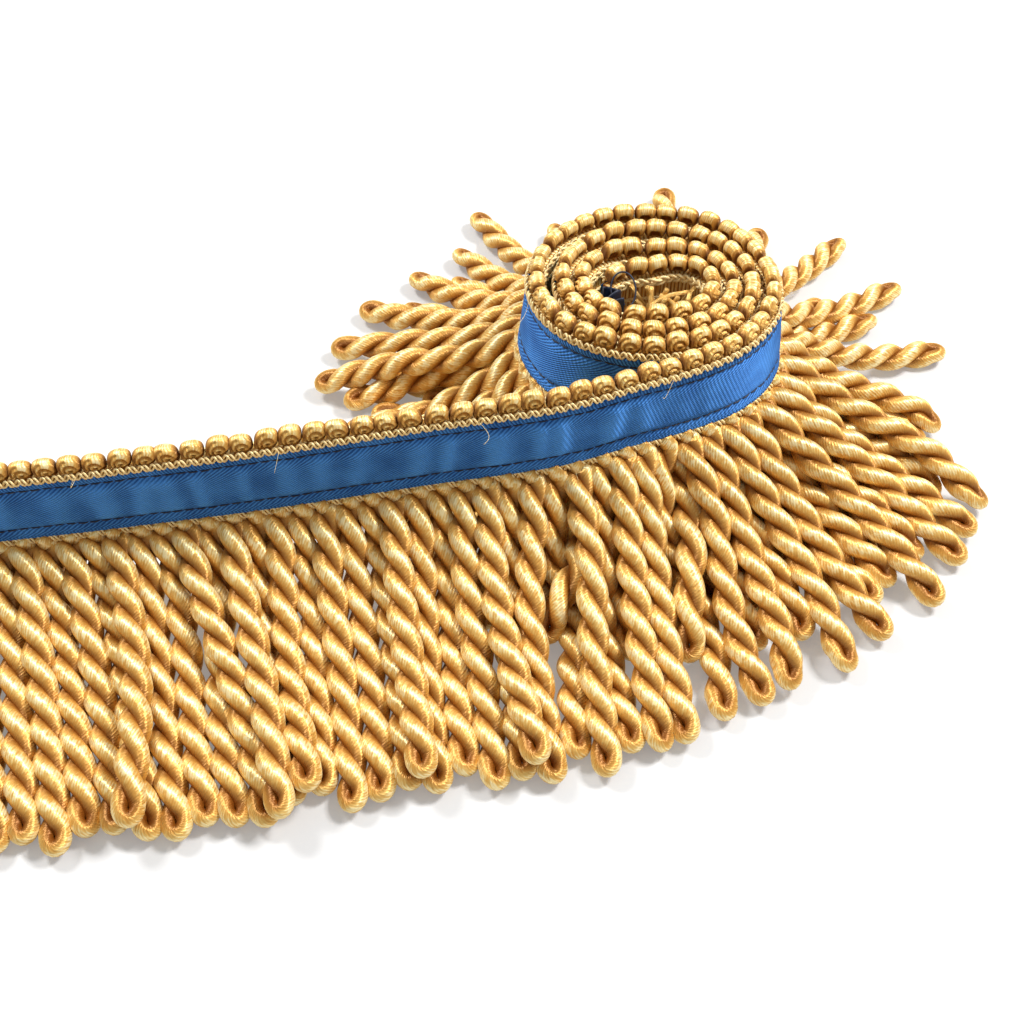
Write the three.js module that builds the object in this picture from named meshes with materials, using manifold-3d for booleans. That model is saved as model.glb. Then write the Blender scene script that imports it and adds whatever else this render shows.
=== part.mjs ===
// Bullion fringe trim, loosely rolled, with its loose end laid out straight.
// Millimetres, +Z up. The roll's axis stands upright and the cords splay out over the surface at z = 0.
// Pieces: a woven heading tape, a satin ribbon sewn over its outer face, a beaded gimp edge along its
// top, and the skirt of two-ply cords that hangs from a narrow strip under it.
import * as THREE from 'three';
import Module from 'manifold-3d';
import { mergeVertices } from 'three/addons/utils/BufferGeometryUtils.js';

// Trim across its width
const ribbonWidth = 15.0;
const headingThickness = 2.0;
const ribbonThickness = 1.0;
const sewnGap = 0.3;
const trimThickness = headingThickness + sewnGap + ribbonThickness;
const gimpHeight = 4.2;
const gimpThickness = 3.3;
const gimpGrooveShare = 0.72;
const gimpShoulderShare = 0.6;
const gimpCrownShare = 0.5;
const backingHeight = 1.5;
const backingThickness = 2.4;
const standingHeight = ribbonWidth + sewnGap + gimpHeight;

// Cords of the skirt
const cordPitch = 4.6;
const cordLinks = 24;
const cordRadius = 2.75;
const strandWidth = 3.4;
const strandHeight = 3.2;
const rootWidth = 1.9;
const narrowWidth = 2.6;
const easedWidth = 3.0;
const restingSlack = 0.3;
const underHeading = 3.2;

// Plan of the roll: its radius to the right, behind, to the left and in front, from the outer turn inwards
const rollRadii = [
  23.5, 22.6, 24.0, 19.6,
  19.5, 17.0, 18.7, 15.5,
  15.6, 10.6, 14.8, 10.9,
  11.6, 4.0,
];
const innerEnd = [[-12.0, -2.0], [-9.5, 0.3], [-6.0, 3.2], [0.0, 4.0], [6.0, 2.6]];
// Plan of the loose end, from the roll's right side round its front and out to the cut end
const looseEnd = [
  [22.6, 7.2], [23.5, 0.0], [22.6, -7.4], [19.0, -14.0], [13.6, -19.4], [6.6, -23.6], [-1.6, -27.4],
  [-11.7, -31.2], [-23.6, -34.0], [-47.0, -36.2], [-82.0, -40.2], [-118.0, -43.8], [-142.0, -46.0],
];
// Along the trim, measured back from the cut end: height of the ribbon's lower edge over the surface,
// outward flare of that edge, how far the cords' lay turns from square to the heading, in degrees,
// and the length of a cord
const along = [
  { back: 0, rise: 13.0, flare: 0.0, turn: 14, cord: 69.5 },
  { back: 30, rise: 14.8, flare: 0.0, turn: 11, cord: 69.0 },
  { back: 60, rise: 17.0, flare: 0.0, turn: 6, cord: 67.0 },
  { back: 80, rise: 18.8, flare: 0.0, turn: 2, cord: 65.5 },
  { back: 117, rise: 22.6, flare: 0.0, turn: -6, cord: 65.5 },
  { back: 136, rise: 24.4, flare: 0.0, turn: -19, cord: 64.0 },
  { back: 150, rise: 24.0, flare: 0.4, turn: -14, cord: 62.0 },
  { back: 159, rise: 24.0, flare: 1.1, turn: -13, cord: 58.5 },
  { back: 168, rise: 24.0, flare: 1.8, turn: -12, cord: 57.0 },
  { back: 173, rise: 24.0, flare: 1.9, turn: -19, cord: 56.5 },
  { back: 177, rise: 24.0, flare: 2.0, turn: -29, cord: 58.0 },
  { back: 182, rise: 24.0, flare: 2.1, turn: -30, cord: 57.5 },
  { back: 187, rise: 24.0, flare: 2.2, turn: -26, cord: 46.0 },
  { back: 191, rise: 24.0, flare: 2.2, turn: -12, cord: 57.0 },
  { back: 196, rise: 24.0, flare: 2.2, turn: 3, cord: 59.0 },
  { back: 200, rise: 24.0, flare: 2.2, turn: 4, cord: 64.0 },
  { back: 205, rise: 24.0, flare: 2.2, turn: 8, cord: 56.0 },
  { back: 210, rise: 24.0, flare: 2.2, turn: 0, cord: 55.0 },
  { back: 214, rise: 24.0, flare: 2.2, turn: 4, cord: 66.0 },
  { back: 219, rise: 24.0, flare: 2.2, turn: 2, cord: 54.0 },
  { back: 224, rise: 24.0, flare: 2.2, turn: 2, cord: 54.0 },
  { back: 228, rise: 24.0, flare: 2.2, turn: 10, cord: 65.0 },
  { back: 233, rise: 24.0, flare: 2.2, turn: 2, cord: 53.0 },
  { back: 237, rise: 24.0, flare: 2.2, turn: 6, cord: 53.0 },
  { back: 242, rise: 24.0, flare: 2.2, turn: 3, cord: 56.0 },
  { back: 251, rise: 24.0, flare: 2.2, turn: 3, cord: 53.0 },
  { back: 290, rise: 24.0, flare: 2.0, turn: 0, cord: 55.0 },
  { back: 330, rise: 24.0, flare: 1.2, turn: 0, cord: 55.0 },
  { back: 900, rise: 24.0, flare: 1.2, turn: 0, cord: 55.0 },
];
// Distance back from the cut end at which each turn starts, and the level its cords leave the roll at
const turns = [
  { back: 0, level: 9.5 },
  { back: 150, level: 16.5 },
  { back: 255, level: 11.5 },
  { back: 372, level: 7.0 },
  { back: 467, level: 3.5 },
];
// Cords of the hidden turns: bearing of the root round the roll and bearing that the cord is laid on
const hiddenLay = [
  { from: -180, to: -166 }, { from: -150, to: -152 }, { from: -121, to: -128 }, { from: -119, to: -118 },
  { from: -90, to: -98 }, { from: -60, to: -74 }, { from: -30, to: -52 }, { from: 0, to: -36 },
  { from: 38, to: -20 }, { from: 40, to: 30 }, { from: 50, to: 40 }, { from: 52, to: 60 },
  { from: 90, to: 90 }, { from: 115, to: 112 }, { from: 117, to: 140 }, { from: 150, to: 172 },
  { from: 180, to: 194 },
];

// How unevenly the cords lie: spread of their bearing in degrees in the straight end and in the roll,
// spread of the level they leave at, and spread of their length as a share
const uneven = { straightBearing: 7, rollBearing: 6, straightLevel: 5, rollLevel: 2, length: 0.05 };
// First lay of a cord: distance out from its root, and height as a share of the level it leaves at
const firstLayRows = [
  { away: 9, share: 1.0, above: 0.0 },
  { away: 22, share: 0.75, above: 0.7 },
  { away: 40, share: 0.4, above: 1.7 },
];
const firstDrop = [{ away: 0.3, below: 4 }, { away: 2.5, below: 8 }];
const firstReach = 58;
// Half thickness that a cord keeps clear of its neighbours, by link counted from the root
const clearances = [1.9, 2.1, 2.1, 2.4, 2.4];
const freeClearance = 2.65;

const toRadians = Math.PI / 180;
const pathSteps = 100;

// Value of one column of a table at x, by straight interpolation
function lookUp(table, key, column, x) {
  if (x <= table[0][key]) return table[0][column];
  for (let i = 1; i < table.length; i += 1) {
    const a = table[i - 1];
    const b = table[i];
    if (x <= b[key]) return a[column] + (b[column] - a[column]) * (x - a[key]) / (b[key] - a[key]);
  }
  return table[table.length - 1][column];
}

// Smooth curve through equally spaced values, t counted in steps
function smooth(values, t) {
  const last = values.length - 1;
  const i = Math.min(Math.floor(t), last - 1);
  const f = t - i;
  const at = (k) => values[Math.max(0, Math.min(last, k))];
  const [a, b, c, d] = [at(i - 1), at(i), at(i + 1), at(i + 2)];
  return b + 0.5 * f * ((c - a) + f * ((2 * a - 5 * b + 4 * c - d) + f * (3 * (b - c) + d - a)));
}

function smoothPoint(points, t) {
  return [smooth(points.map((p) => p[0]), t), smooth(points.map((p) => p[1]), t)];
}

// Repeatable number from 0 to 1 for cord k
function chance(k, salt) {
  const v = Math.sin(k * 12.9898 + salt * 78.233) * 43758.5453;
  return v - Math.floor(v);
}

// Centre line of the trim in plan, from the inner end of the roll to the cut end
function planPath() {
  const path = [];
  for (let i = 0; i < pathSteps; i += 1) path.push(smoothPoint(innerEnd, 1 + 2 * i / pathSteps));
  const quarters = rollRadii.length - 1;
  const rollSteps = pathSteps * quarters;
  for (let i = rollSteps; i > 0; i -= 1) {
    const t = quarters * i / rollSteps;
    const angle = 90 * t * toRadians;
    const radius = smooth(rollRadii, t);
    path.push([radius * Math.cos(angle), radius * Math.sin(angle)]);
  }
  const spans = looseEnd.length - 2;
  const looseSteps = pathSteps * spans;
  for (let i = 0; i <= looseSteps; i += 1) path.push(smoothPoint(looseEnd, 1 + spans * i / looseSteps));
  let length = 0;
  const marks = [0];
  for (let i = 1; i < path.length; i += 1) {
    length += Math.hypot(path[i][0] - path[i - 1][0], path[i][1] - path[i - 1][1]);
    marks.push(length);
  }
  return { path, marks, length };
}

const plan = planPath();

function planPoint(distance) {
  const s = Math.max(0, Math.min(plan.length, distance));
  let low = 0;
  let high = plan.marks.length - 1;
  while (high - low > 1) {
    const middle = (low + high) >> 1;
    if (plan.marks[middle] <= s) low = middle;
    else high = middle;
  }
  const f = (s - plan.marks[low]) / (plan.marks[high] - plan.marks[low]);
  const [a, b] = [plan.path[low], plan.path[high]];
  return [a[0] + (b[0] - a[0]) * f, a[1] + (b[1] - a[1]) * f];
}

// Place on the trim: point on the centre line, outward direction, rise of the lower edge and flare
function station(distance) {
  const reach = 1.0;
  const [x, y] = planPoint(distance);
  const a = planPoint(Math.max(0, distance - reach));
  const b = planPoint(Math.min(plan.length, distance + reach));
  const size = Math.hypot(b[0] - a[0], b[1] - a[1]);
  const back = plan.length - distance;
  return {
    x,
    y,
    back,
    out: [-(b[1] - a[1]) / size, (b[0] - a[0]) / size],
    rise: lookUp(along, 'back', 'rise', back),
    flare: lookUp(along, 'back', 'flare', back),
    turn: lookUp(along, 'back', 'turn', back),
    cord: lookUp(along, 'back', 'cord', back),
  };
}

// Point of the trim's cross-section: offset outwards, height over the ribbon's lower edge
function onTrim(place, offset, height) {
  const shift = offset + place.flare * (1 - height / standingHeight);
  return [place.x + place.out[0] * shift, place.y + place.out[1] * shift, place.rise + height];
}

// Closed body through rings of points, with a fan at each end, its faces turned outwards
function bodyThroughRings(rings) {
  const sides = rings[0].length;
  const positions = rings.flat(2);
  const index = [];
  for (let i = 0; i + 1 < rings.length; i += 1) {
    for (let j = 0; j < sides; j += 1) {
      const a = i * sides + j;
      const b = i * sides + (j + 1) % sides;
      index.push(a, b, a + sides, b, b + sides, a + sides);
    }
  }
  const end = (rings.length - 1) * sides;
  for (let j = 1; j + 1 < sides; j += 1) {
    index.push(0, j + 1, j);
    index.push(end, end + j, end + j + 1);
  }
  let volume = 0;
  const corner = [new THREE.Vector3(), new THREE.Vector3(), new THREE.Vector3()];
  for (let i = 0; i < index.length; i += 3) {
    corner.forEach((v, j) => v.fromArray(positions, 3 * index[i + j]));
    volume += corner[0].dot(corner[1].cross(corner[2]));
  }
  if (volume < 0) index.reverse();
  const geometry = new THREE.BufferGeometry();
  geometry.setAttribute('position', new THREE.Float32BufferAttribute(positions, 3));
  geometry.setIndex(index);
  return geometry;
}

// Band that follows the trim with a constant cross-section, one step to a cord
const cordCount = Math.floor(plan.length / cordPitch);
const step = plan.length / cordCount;

function band(section, bottomInset) {
  const rings = [];
  for (let i = 0; i <= cordCount; i += 1) {
    const place = station(i * step);
    rings.push(section.map(([offset, height]) => onTrim(place, offset, height + bottomInset)));
  }
  return bodyThroughRings(rings);
}

function rectangle(inner, outer, bottom, top) {
  return [[inner, bottom], [outer, bottom], [outer, top], [inner, top]];
}

function headingGeometry() {
  const inner = -trimThickness / 2;
  return band(rectangle(inner, inner + headingThickness, 0, ribbonWidth), 0);
}

function ribbonGeometry() {
  const outer = trimThickness / 2;
  return band(rectangle(outer - ribbonThickness, outer, 0, ribbonWidth), 0);
}

// Row of gimp beads: the section swells at each bead and draws in between them
function gimpGeometry() {
  const rings = [];
  const half = gimpThickness / 2;
  const lowest = ribbonWidth + sewnGap;
  for (let i = 0; i <= 2 * cordCount; i += 1) {
    const share = i % 2 === 1 ? 1 : gimpGrooveShare;
    const place = station(i * step / 2);
    const section = [
      [-half * share, 0], [half * share, 0], [half * share, gimpShoulderShare * gimpHeight * share],
      [gimpCrownShare * half, gimpHeight * share], [-gimpCrownShare * half, gimpHeight * share],
      [-half * share, gimpShoulderShare * gimpHeight * share],
    ];
    rings.push(section.map(([offset, height]) => onTrim(place, offset, lowest + height)));
  }
  return bodyThroughRings(rings);
}

// Bearing in degrees that cord k is laid on, seen from above
function layBearing(place, k) {
  const square = Math.atan2(place.out[1], place.out[0]) / toRadians;
  const root = Math.atan2(place.y, place.x) / toRadians;
  const hidden = place.back > turns[2].back;
  const base = hidden ? lookUp(hiddenLay, 'from', 'to', root) : square + place.turn;
  const scatter = place.back < turns[1].back ? uneven.straightBearing : uneven.rollBearing;
  return base + (chance(k, 1) - 0.5) * scatter;
}

// First lay of every cord: down from its root, over the cords below it and out to the surface
function firstLay() {
  const cords = [];
  for (let k = 0; k < cordCount; k += 1) {
    const place = station((k + 0.5) * step);
    const length = place.cord * (1 + uneven.length * (chance(k, 2) - 0.5));
    const bearing = layBearing(place, k) * toRadians;
    const straight = place.back < turns[1].back;
    const layer = turns.filter((turn) => place.back >= turn.back).pop().level;
    const rolledLevel = layer + uneven.rollLevel * (chance(k, 3) - 0.5);
    const straightLevel = Math.min(place.rise - 5, layer) + uneven.straightLevel * (chance(k, 3) - 0.5);
    const level = straight ? straightLevel : rolledLevel;
    const [rootX, rootY] = onTrim(place, 0, 0);
    const [upper, lower] = firstDrop;
    const route = [
      { away: 0, high: place.rise },
      { away: upper.away, high: place.rise - upper.below },
      { away: lower.away, high: Math.max(place.rise - lower.below, level + 1) },
      ...firstLayRows.map(({ away, share, above }) => ({ away, high: level * share + above })),
      { away: firstReach, high: cordRadius + (straight ? restingSlack : 0) },
    ];
    const knots = [{ s: 0, ...route[0] }];
    for (let i = 1; i < route.length; i += 1) {
      const run = Math.hypot(route[i].away - route[i - 1].away, route[i].high - route[i - 1].high);
      knots.push({ s: knots[i - 1].s + run, ...route[i] });
    }
    const points = [];
    for (let i = 0; i <= cordLinks; i += 1) {
      const s = length * i / cordLinks;
      const beyond = Math.max(0, s - knots[knots.length - 1].s);
      const out = lookUp(knots, 's', 'away', s) + beyond;
      const z = lookUp(knots, 's', 'high', s);
      points.push([rootX + Math.cos(bearing) * out, rootY + Math.sin(bearing) * out, z]);
    }
    const ceiling = Math.max(place.rise - underHeading, cordRadius);
    cords.push({ points, link: length / cordLinks, ceiling });
  }
  return cords;
}

function clearance(i) {
  return clearances[i] ?? freeClearance;
}

// Settling: each round lets the cords sink, restores their length, eases their bends,
// pushes neighbours apart and keeps them on the surface and below the heading
const rounds = 260;
const sinkage = 0.12;
const leastSinkage = 0.15;
const stiffness = 0.22;
const lengthPasses = 3;
const crowdShare = 0.6;
const heldPoints = 2;
const searchReach = 7.5;
const searchEvery = 6;

function restoreLengths(cord) {
  const p = cord.points;
  for (const parity of [0, 1]) {
    for (let i = parity; i < cordLinks; i += 2) {
      const [a, b] = [p[i], p[i + 1]];
      const wa = i < heldPoints ? 0 : 1;
      const wb = i + 1 < heldPoints ? 0 : 1;
      if (wa + wb === 0) continue;
      const gap = [b[0] - a[0], b[1] - a[1], b[2] - a[2]];
      const size = Math.hypot(...gap) + 1e-9;
      const share = (size - cord.link) / size / (wa + wb);
      for (let axis = 0; axis < 3; axis += 1) {
        a[axis] += gap[axis] * share * wa;
        b[axis] -= gap[axis] * share * wb;
      }
    }
  }
}

function easeBends(cord) {
  const old = cord.points.map((point) => [...point]);
  for (let i = heldPoints; i < cordLinks; i += 1) {
    for (let axis = 0; axis < 3; axis += 1) {
      const middle = 0.5 * (old[i - 1][axis] + old[i + 1][axis]);
      cord.points[i][axis] += stiffness * (middle - old[i][axis]);
    }
  }
  for (let axis = 0; axis < 3; axis += 1) {
    const straightOn = 2 * old[cordLinks - 1][axis] - old[cordLinks - 2][axis];
    cord.points[cordLinks][axis] += stiffness * (straightOn - old[cordLinks][axis]);
  }
}

function nearPairs(points) {
  const pairs = [];
  const perCord = cordLinks + 1;
  for (let i = 0; i < points.length; i += 1) {
    const next = (Math.floor(i / perCord) + 1) * perCord;
    for (let j = next; j < points.length; j += 1) {
      const dx = points[i][0] - points[j][0];
      if (dx > searchReach || dx < -searchReach) continue;
      const dy = points[i][1] - points[j][1];
      const dz = points[i][2] - points[j][2];
      if (dx * dx + dy * dy + dz * dz < searchReach * searchReach) pairs.push([i, j]);
    }
  }
  return pairs;
}

function pushApart(points, pairs) {
  const perCord = cordLinks + 1;
  const moves = points.map(() => [0, 0, 0, 0]);
  for (const [i, j] of pairs) {
    const [a, b] = [points[i], points[j]];
    const gap = [b[0] - a[0], b[1] - a[1], b[2] - a[2]];
    const size = Math.sqrt(gap[0] * gap[0] + gap[1] * gap[1] + gap[2] * gap[2]) + 1e-9;
    const overlap = clearance(i % perCord) + clearance(j % perCord) - size;
    if (overlap <= 0) continue;
    for (let axis = 0; axis < 3; axis += 1) {
      moves[i][axis] -= 0.5 * overlap / size * gap[axis];
      moves[j][axis] += 0.5 * overlap / size * gap[axis];
    }
    moves[i][3] += 1;
    moves[j][3] += 1;
  }
  moves.forEach((move, i) => {
    if (i % perCord < heldPoints) return;
    const share = 1 / Math.max(move[3] * crowdShare, 1);
    for (let axis = 0; axis < 3; axis += 1) points[i][axis] += move[axis] * share;
  });
}

function settle(cords) {
  const points = cords.flatMap((cord) => cord.points);
  let pairs = [];
  for (let round = 0; round < rounds; round += 1) {
    const sink = sinkage * Math.max(leastSinkage, 1 - round / rounds);
    for (const cord of cords) {
      for (let i = heldPoints; i <= cordLinks; i += 1) cord.points[i][2] -= sink;
      for (let pass = 0; pass < lengthPasses; pass += 1) {
        restoreLengths(cord);
        easeBends(cord);
      }
    }
    if (round % searchEvery === 0) pairs = nearPairs(points);
    pushApart(points, pairs);
    pushApart(points, pairs);
    for (const cord of cords) {
      for (let i = heldPoints; i <= cordLinks; i += 1) {
        const point = cord.points[i];
        point[2] = Math.max(point[2], cordRadius);
        if (i > heldPoints) point[2] = Math.min(point[2], cord.ceiling);
      }
    }
  }
  return cords;
}

// Links of a cord that carry a ring of its strand, and the strand's width there
const strandRows = [
  { row: 0, width: rootWidth }, { row: 2, width: narrowWidth }, { row: 4, width: easedWidth },
  { row: 8, width: strandWidth }, { row: 12, width: strandWidth }, { row: 16, width: strandWidth },
  { row: 20, width: strandWidth }, { row: cordLinks, width: narrowWidth },
];
const chordShare = 0.2;

// Four-sided strand along a settled cord, level where the cord lies on the surface
function strand(cord) {
  const p = cord.points;
  const chord = new THREE.Vector3(p[cordLinks][0] - p[0][0], p[cordLinks][1] - p[0][1], 0).normalize();
  const up = new THREE.Vector3(0, 0, 1);
  const rings = strandRows.map(({ row, width }) => {
    const a = p[Math.max(0, row - 1)];
    const b = p[Math.min(cordLinks, row + 1)];
    const ahead = new THREE.Vector3(b[0] - a[0], b[1] - a[1], b[2] - a[2]).normalize();
    const level = new THREE.Vector3(ahead.x, ahead.y, 0).addScaledVector(chord, chordShare).normalize();
    const side = new THREE.Vector3().crossVectors(level, up);
    const half = width / 2;
    const tall = Math.min(half, strandHeight / 2);
    const lying = p[row][2] < cordRadius + restingSlack;
    const over = lying ? up : new THREE.Vector3().crossVectors(side, ahead).normalize();
    const height = lying ? tall : p[row][2] - cordRadius + strandHeight / 2;
    const centre = new THREE.Vector3(p[row][0], p[row][1], height);
    return [[-1, -1], [1, -1], [1, 1], [-1, 1]].map(([across, above]) => {
      const corner = centre.clone();
      corner.addScaledVector(side, across * half);
      corner.addScaledVector(over, above * tall);
      corner.z = Math.max(0, corner.z);
      return corner.toArray();
    });
  });
  return bodyThroughRings(rings);
}

const mergeReach = 1e-4;
const wasm = await Module();
wasm.setup();

function toSolid(geometry) {
  const merged = mergeVertices(geometry, mergeReach);
  return new wasm.Manifold(new wasm.Mesh({
    numProp: 3,
    vertProperties: new Float32Array(merged.attributes.position.array),
    triVerts: new Uint32Array(merged.index.array),
  }));
}

function fromSolid(solid) {
  const mesh = solid.getMesh();
  const geometry = new THREE.BufferGeometry();
  geometry.setAttribute('position', new THREE.BufferAttribute(mesh.vertProperties, 3));
  geometry.setIndex(new THREE.BufferAttribute(mesh.triVerts, 1));
  return geometry;
}

// Skirt: the strands fused at their roots into the strip under the heading
function fringeGeometry() {
  const half = backingThickness / 2;
  const backing = band(rectangle(-half, half, 0, backingHeight), -backingHeight - sewnGap);
  const pieces = [backing, ...settle(firstLay()).map(strand)].map(toSolid);
  return fromSolid(wasm.Manifold.union(pieces));
}

const gold = new THREE.MeshStandardMaterial({ color: 0xd8ac5c, roughness: 0.42, metalness: 0.15 });
const paleGold = new THREE.MeshStandardMaterial({ color: 0xe2bb72, roughness: 0.45, metalness: 0.12 });
const weave = new THREE.MeshStandardMaterial({ color: 0xb98a3e, roughness: 0.6, metalness: 0.05 });
const satin = new THREE.MeshStandardMaterial({ color: 0x1c4d90, roughness: 0.38, metalness: 0.0 });

function piece(name, geometry, material) {
  const mesh = new THREE.Mesh(geometry, material);
  mesh.name = name;
  return mesh;
}

const trim = new THREE.Group();
trim.add(
  piece('woven_heading', headingGeometry(), weave),
  piece('satin_ribbon', ribbonGeometry(), satin),
  piece('gimp_edge', gimpGeometry(), paleGold),
  piece('bullion_fringe', fringeGeometry(), gold),
);

// The origin is the middle of the trim's footprint, on the surface it lies on
const footprint = new THREE.Box3().setFromObject(trim);
const middle = footprint.getCenter(new THREE.Vector3());
trim.position.set(-middle.x, -middle.y, -footprint.min.z);

export default trim;
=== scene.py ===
# %% [markdown]
# A length of cord fringe, the kind that edges curtains and sofas, lies loosely rolled with its loose end
# laid out straight. Everything on it follows one line in plan: the path of the woven heading. So the first
# cells load the measured part, set the camera and work out that path, and each later piece is a section
# carried along it. Cords are then laid down by a small settling sum, and each is one yarn folded in half
# and twisted with itself.

# %% Load the measured part
import bpy
import numpy as np
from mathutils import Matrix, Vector


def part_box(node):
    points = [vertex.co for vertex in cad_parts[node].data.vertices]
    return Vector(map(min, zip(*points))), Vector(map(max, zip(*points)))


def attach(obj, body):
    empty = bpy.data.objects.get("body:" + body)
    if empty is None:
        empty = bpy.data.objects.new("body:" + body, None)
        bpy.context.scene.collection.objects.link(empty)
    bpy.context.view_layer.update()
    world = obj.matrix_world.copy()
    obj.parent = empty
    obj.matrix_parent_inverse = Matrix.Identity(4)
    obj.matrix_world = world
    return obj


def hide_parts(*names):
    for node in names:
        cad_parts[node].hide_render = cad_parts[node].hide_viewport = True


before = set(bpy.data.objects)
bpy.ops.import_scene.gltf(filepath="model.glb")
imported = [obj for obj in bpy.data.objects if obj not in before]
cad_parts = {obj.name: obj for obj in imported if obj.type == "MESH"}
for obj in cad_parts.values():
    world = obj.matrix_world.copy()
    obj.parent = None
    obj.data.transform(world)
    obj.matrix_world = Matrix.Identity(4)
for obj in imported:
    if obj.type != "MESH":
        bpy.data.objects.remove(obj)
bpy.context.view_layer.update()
MM = 0.001

# %% [markdown]
# The camera is set first. The photograph looks down on the roll from the front at 48 degrees with a normal
# lens, which was found by matching the ends of the heading and the tips of the cords.

# %% Camera
CAMERA_PLACE = (6.02, -224.36, 234.0)
CAMERA_DIP = 48.0
CAMERA_LENS = 52.28

camera_data = bpy.data.cameras.new("camera")
camera_data.lens = CAMERA_LENS
camera_data.sensor_width = 36.0
camera_data.clip_start = 0.01
camera = bpy.data.objects.new("camera", camera_data)
camera.location = [v * MM for v in CAMERA_PLACE]
camera.rotation_euler = (np.radians(90 - CAMERA_DIP), 0, 0)
bpy.context.scene.collection.objects.link(camera)
bpy.context.scene.camera = camera
print("camera stands at", CAMERA_PLACE, "mm and looks down by", CAMERA_DIP, "degrees")

# %% [markdown]
# The plan of the trim is one curve. The roll is a spiral whose radius is listed four times a turn, to the
# right, behind, to the left and in front, which keeps it as uneven as the real one. Short listed curves add
# the inner end and the loose end, and their first and last points only steer them. A Catmull-Rom curve joins
# the listed values smoothly.

# %% Plan of the trim
ROLL_RADII = [23.5, 22.6, 24.0, 19.6, 19.5, 17.0, 18.7, 15.5, 15.6, 10.6, 14.8, 10.9, 11.6, 4.0]
INNER_END = [[-12.0, -2.0], [-9.5, 0.3], [-6.0, 3.2], [0.0, 4.0], [6.0, 2.6]]
LOOSE_END = [
    [22.6, 7.2], [23.5, 0.0], [22.6, -7.4], [19.0, -14.0], [13.6, -19.4], [6.6, -23.6], [-1.6, -27.4],
    [-11.7, -31.2], [-23.6, -34.0], [-47.0, -36.2], [-82.0, -40.2], [-118.0, -43.8], [-142.0, -46.0],
]
PATH_STEPS = 100


def smooth(values, t):
    """Catmull-Rom curve through equally spaced values, with t counted in steps: in each step the curve
    is the cubic that meets both values with the slope between each value's two neighbours."""
    values = np.asarray(values, float)
    last = len(values) - 1
    i = np.clip(np.floor(t).astype(int), 0, last - 1)
    f = (t - i).reshape(-1, *[1] * (values.ndim - 1))
    a, b, c, d = (values[np.clip(i + k, 0, last)] for k in (-1, 0, 1, 2))
    return b + 0.5 * f * ((c - a) + f * ((2 * a - 5 * b + 4 * c - d) + f * (3 * (b - c) + d - a)))


def running_total(steps):
    """0 and then the running sum of the steps, along the last axis."""
    return np.concatenate([np.zeros(steps.shape[:-1] + (1,)), np.cumsum(steps, axis=-1)], -1)


def plan_path():
    """Points of the plan from the inner end of the roll to the cut end, and the distance to each."""
    quarters = len(ROLL_RADII) - 1
    spans = len(LOOSE_END) - 2
    inner_spans = len(INNER_END) - 3
    t = quarters * np.arange(PATH_STEPS * quarters, 0, -1) / (PATH_STEPS * quarters)
    radius = smooth(ROLL_RADII, t)
    turned = np.radians(90 * t)
    path = np.concatenate([
        smooth(INNER_END, 1 + inner_spans * np.arange(PATH_STEPS) / PATH_STEPS),
        np.stack([radius * np.cos(turned), radius * np.sin(turned)], 1),
        smooth(LOOSE_END, 1 + np.arange(PATH_STEPS * spans + 1) / PATH_STEPS),
    ])
    return path, running_total(np.linalg.norm(np.diff(path, axis=0), axis=1))


path, marks = plan_path()
trim_length = marks[-1]
print(f"the trim is {trim_length:.0f} mm long in plan")

# %% [markdown]
# A place on the trim is given by three numbers: the distance along it, the offset outwards from its middle
# and the height over the ribbon's lower edge. That edge climbs from 13 mm above the floor at the cut end to
# 24 mm at the roll, because the cords prop it up, and in the roll it flares outwards a little. The shift at
# the end brings the path into the frame: it compares the ribbon worked out here with the measured one.

# %% Places on the trim
RIBBON_WIDTH = 15.0
SEWN_GAP = 0.3
GIMP_HEIGHT = 4.2
TRIM_THICKNESS = 3.3
RIBBON_SOLID = 1.0
STANDING_HEIGHT = RIBBON_WIDTH + SEWN_GAP + GIMP_HEIGHT
ALONG_BACK = [
    0, 30, 60, 80, 117, 136, 150, 159, 168, 173, 177, 182, 187, 191, 196, 200, 205, 210, 214, 219, 224,
    228, 233, 237, 242, 251, 290, 330, 900,
]
ALONG = {
    "rise": [13.0, 14.8, 17.0, 18.8, 22.6, 24.4] + [24.0] * 23,
    "flare": [0.0] * 6 + [0.4, 1.1, 1.8, 1.9, 2.0, 2.1] + [2.2] * 14 + [2.0, 1.2, 1.2],
    "turn": [
        14, 11, 6, 2, -6, -19, -14, -13, -12, -19, -29, -30, -26, -12, 3, 4, 8, 0, 4, 2, 2, 10, 2, 6, 3,
        3, 0, 0, 0,
    ],
    "cord": [
        69.5, 69.0, 67.0, 65.5, 65.5, 64.0, 62.0, 58.5, 57.0, 56.5, 58.0, 57.5, 46.0, 57.0, 59.0, 64.0,
        56.0, 55.0, 66.0, 54.0, 54.0, 65.0, 53.0, 53.0, 56.0, 53.0, 55.0, 55.0, 55.0,
    ],
}
CORD_PITCH = 4.6


def plan_point(distance):
    """Point of the plan at a distance along the trim, by straight interpolation."""
    return np.stack([np.interp(distance, marks, path[:, axis]) for axis in (0, 1)], -1)


def outwards(distance):
    """Unit direction out of the roll: the travel direction over 2 mm, turned left by a quarter turn."""
    ahead = plan_point(np.minimum(distance + 1, trim_length)) - plan_point(np.maximum(distance - 1, 0))
    ahead /= np.linalg.norm(ahead, axis=-1, keepdims=True)
    return np.stack([-ahead[..., 1], ahead[..., 0]], -1)


def along(column, distance):
    """Value of one column of the table at a distance, which the table counts back from the cut end."""
    return np.interp(trim_length - distance, ALONG_BACK, ALONG[column])


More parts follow.
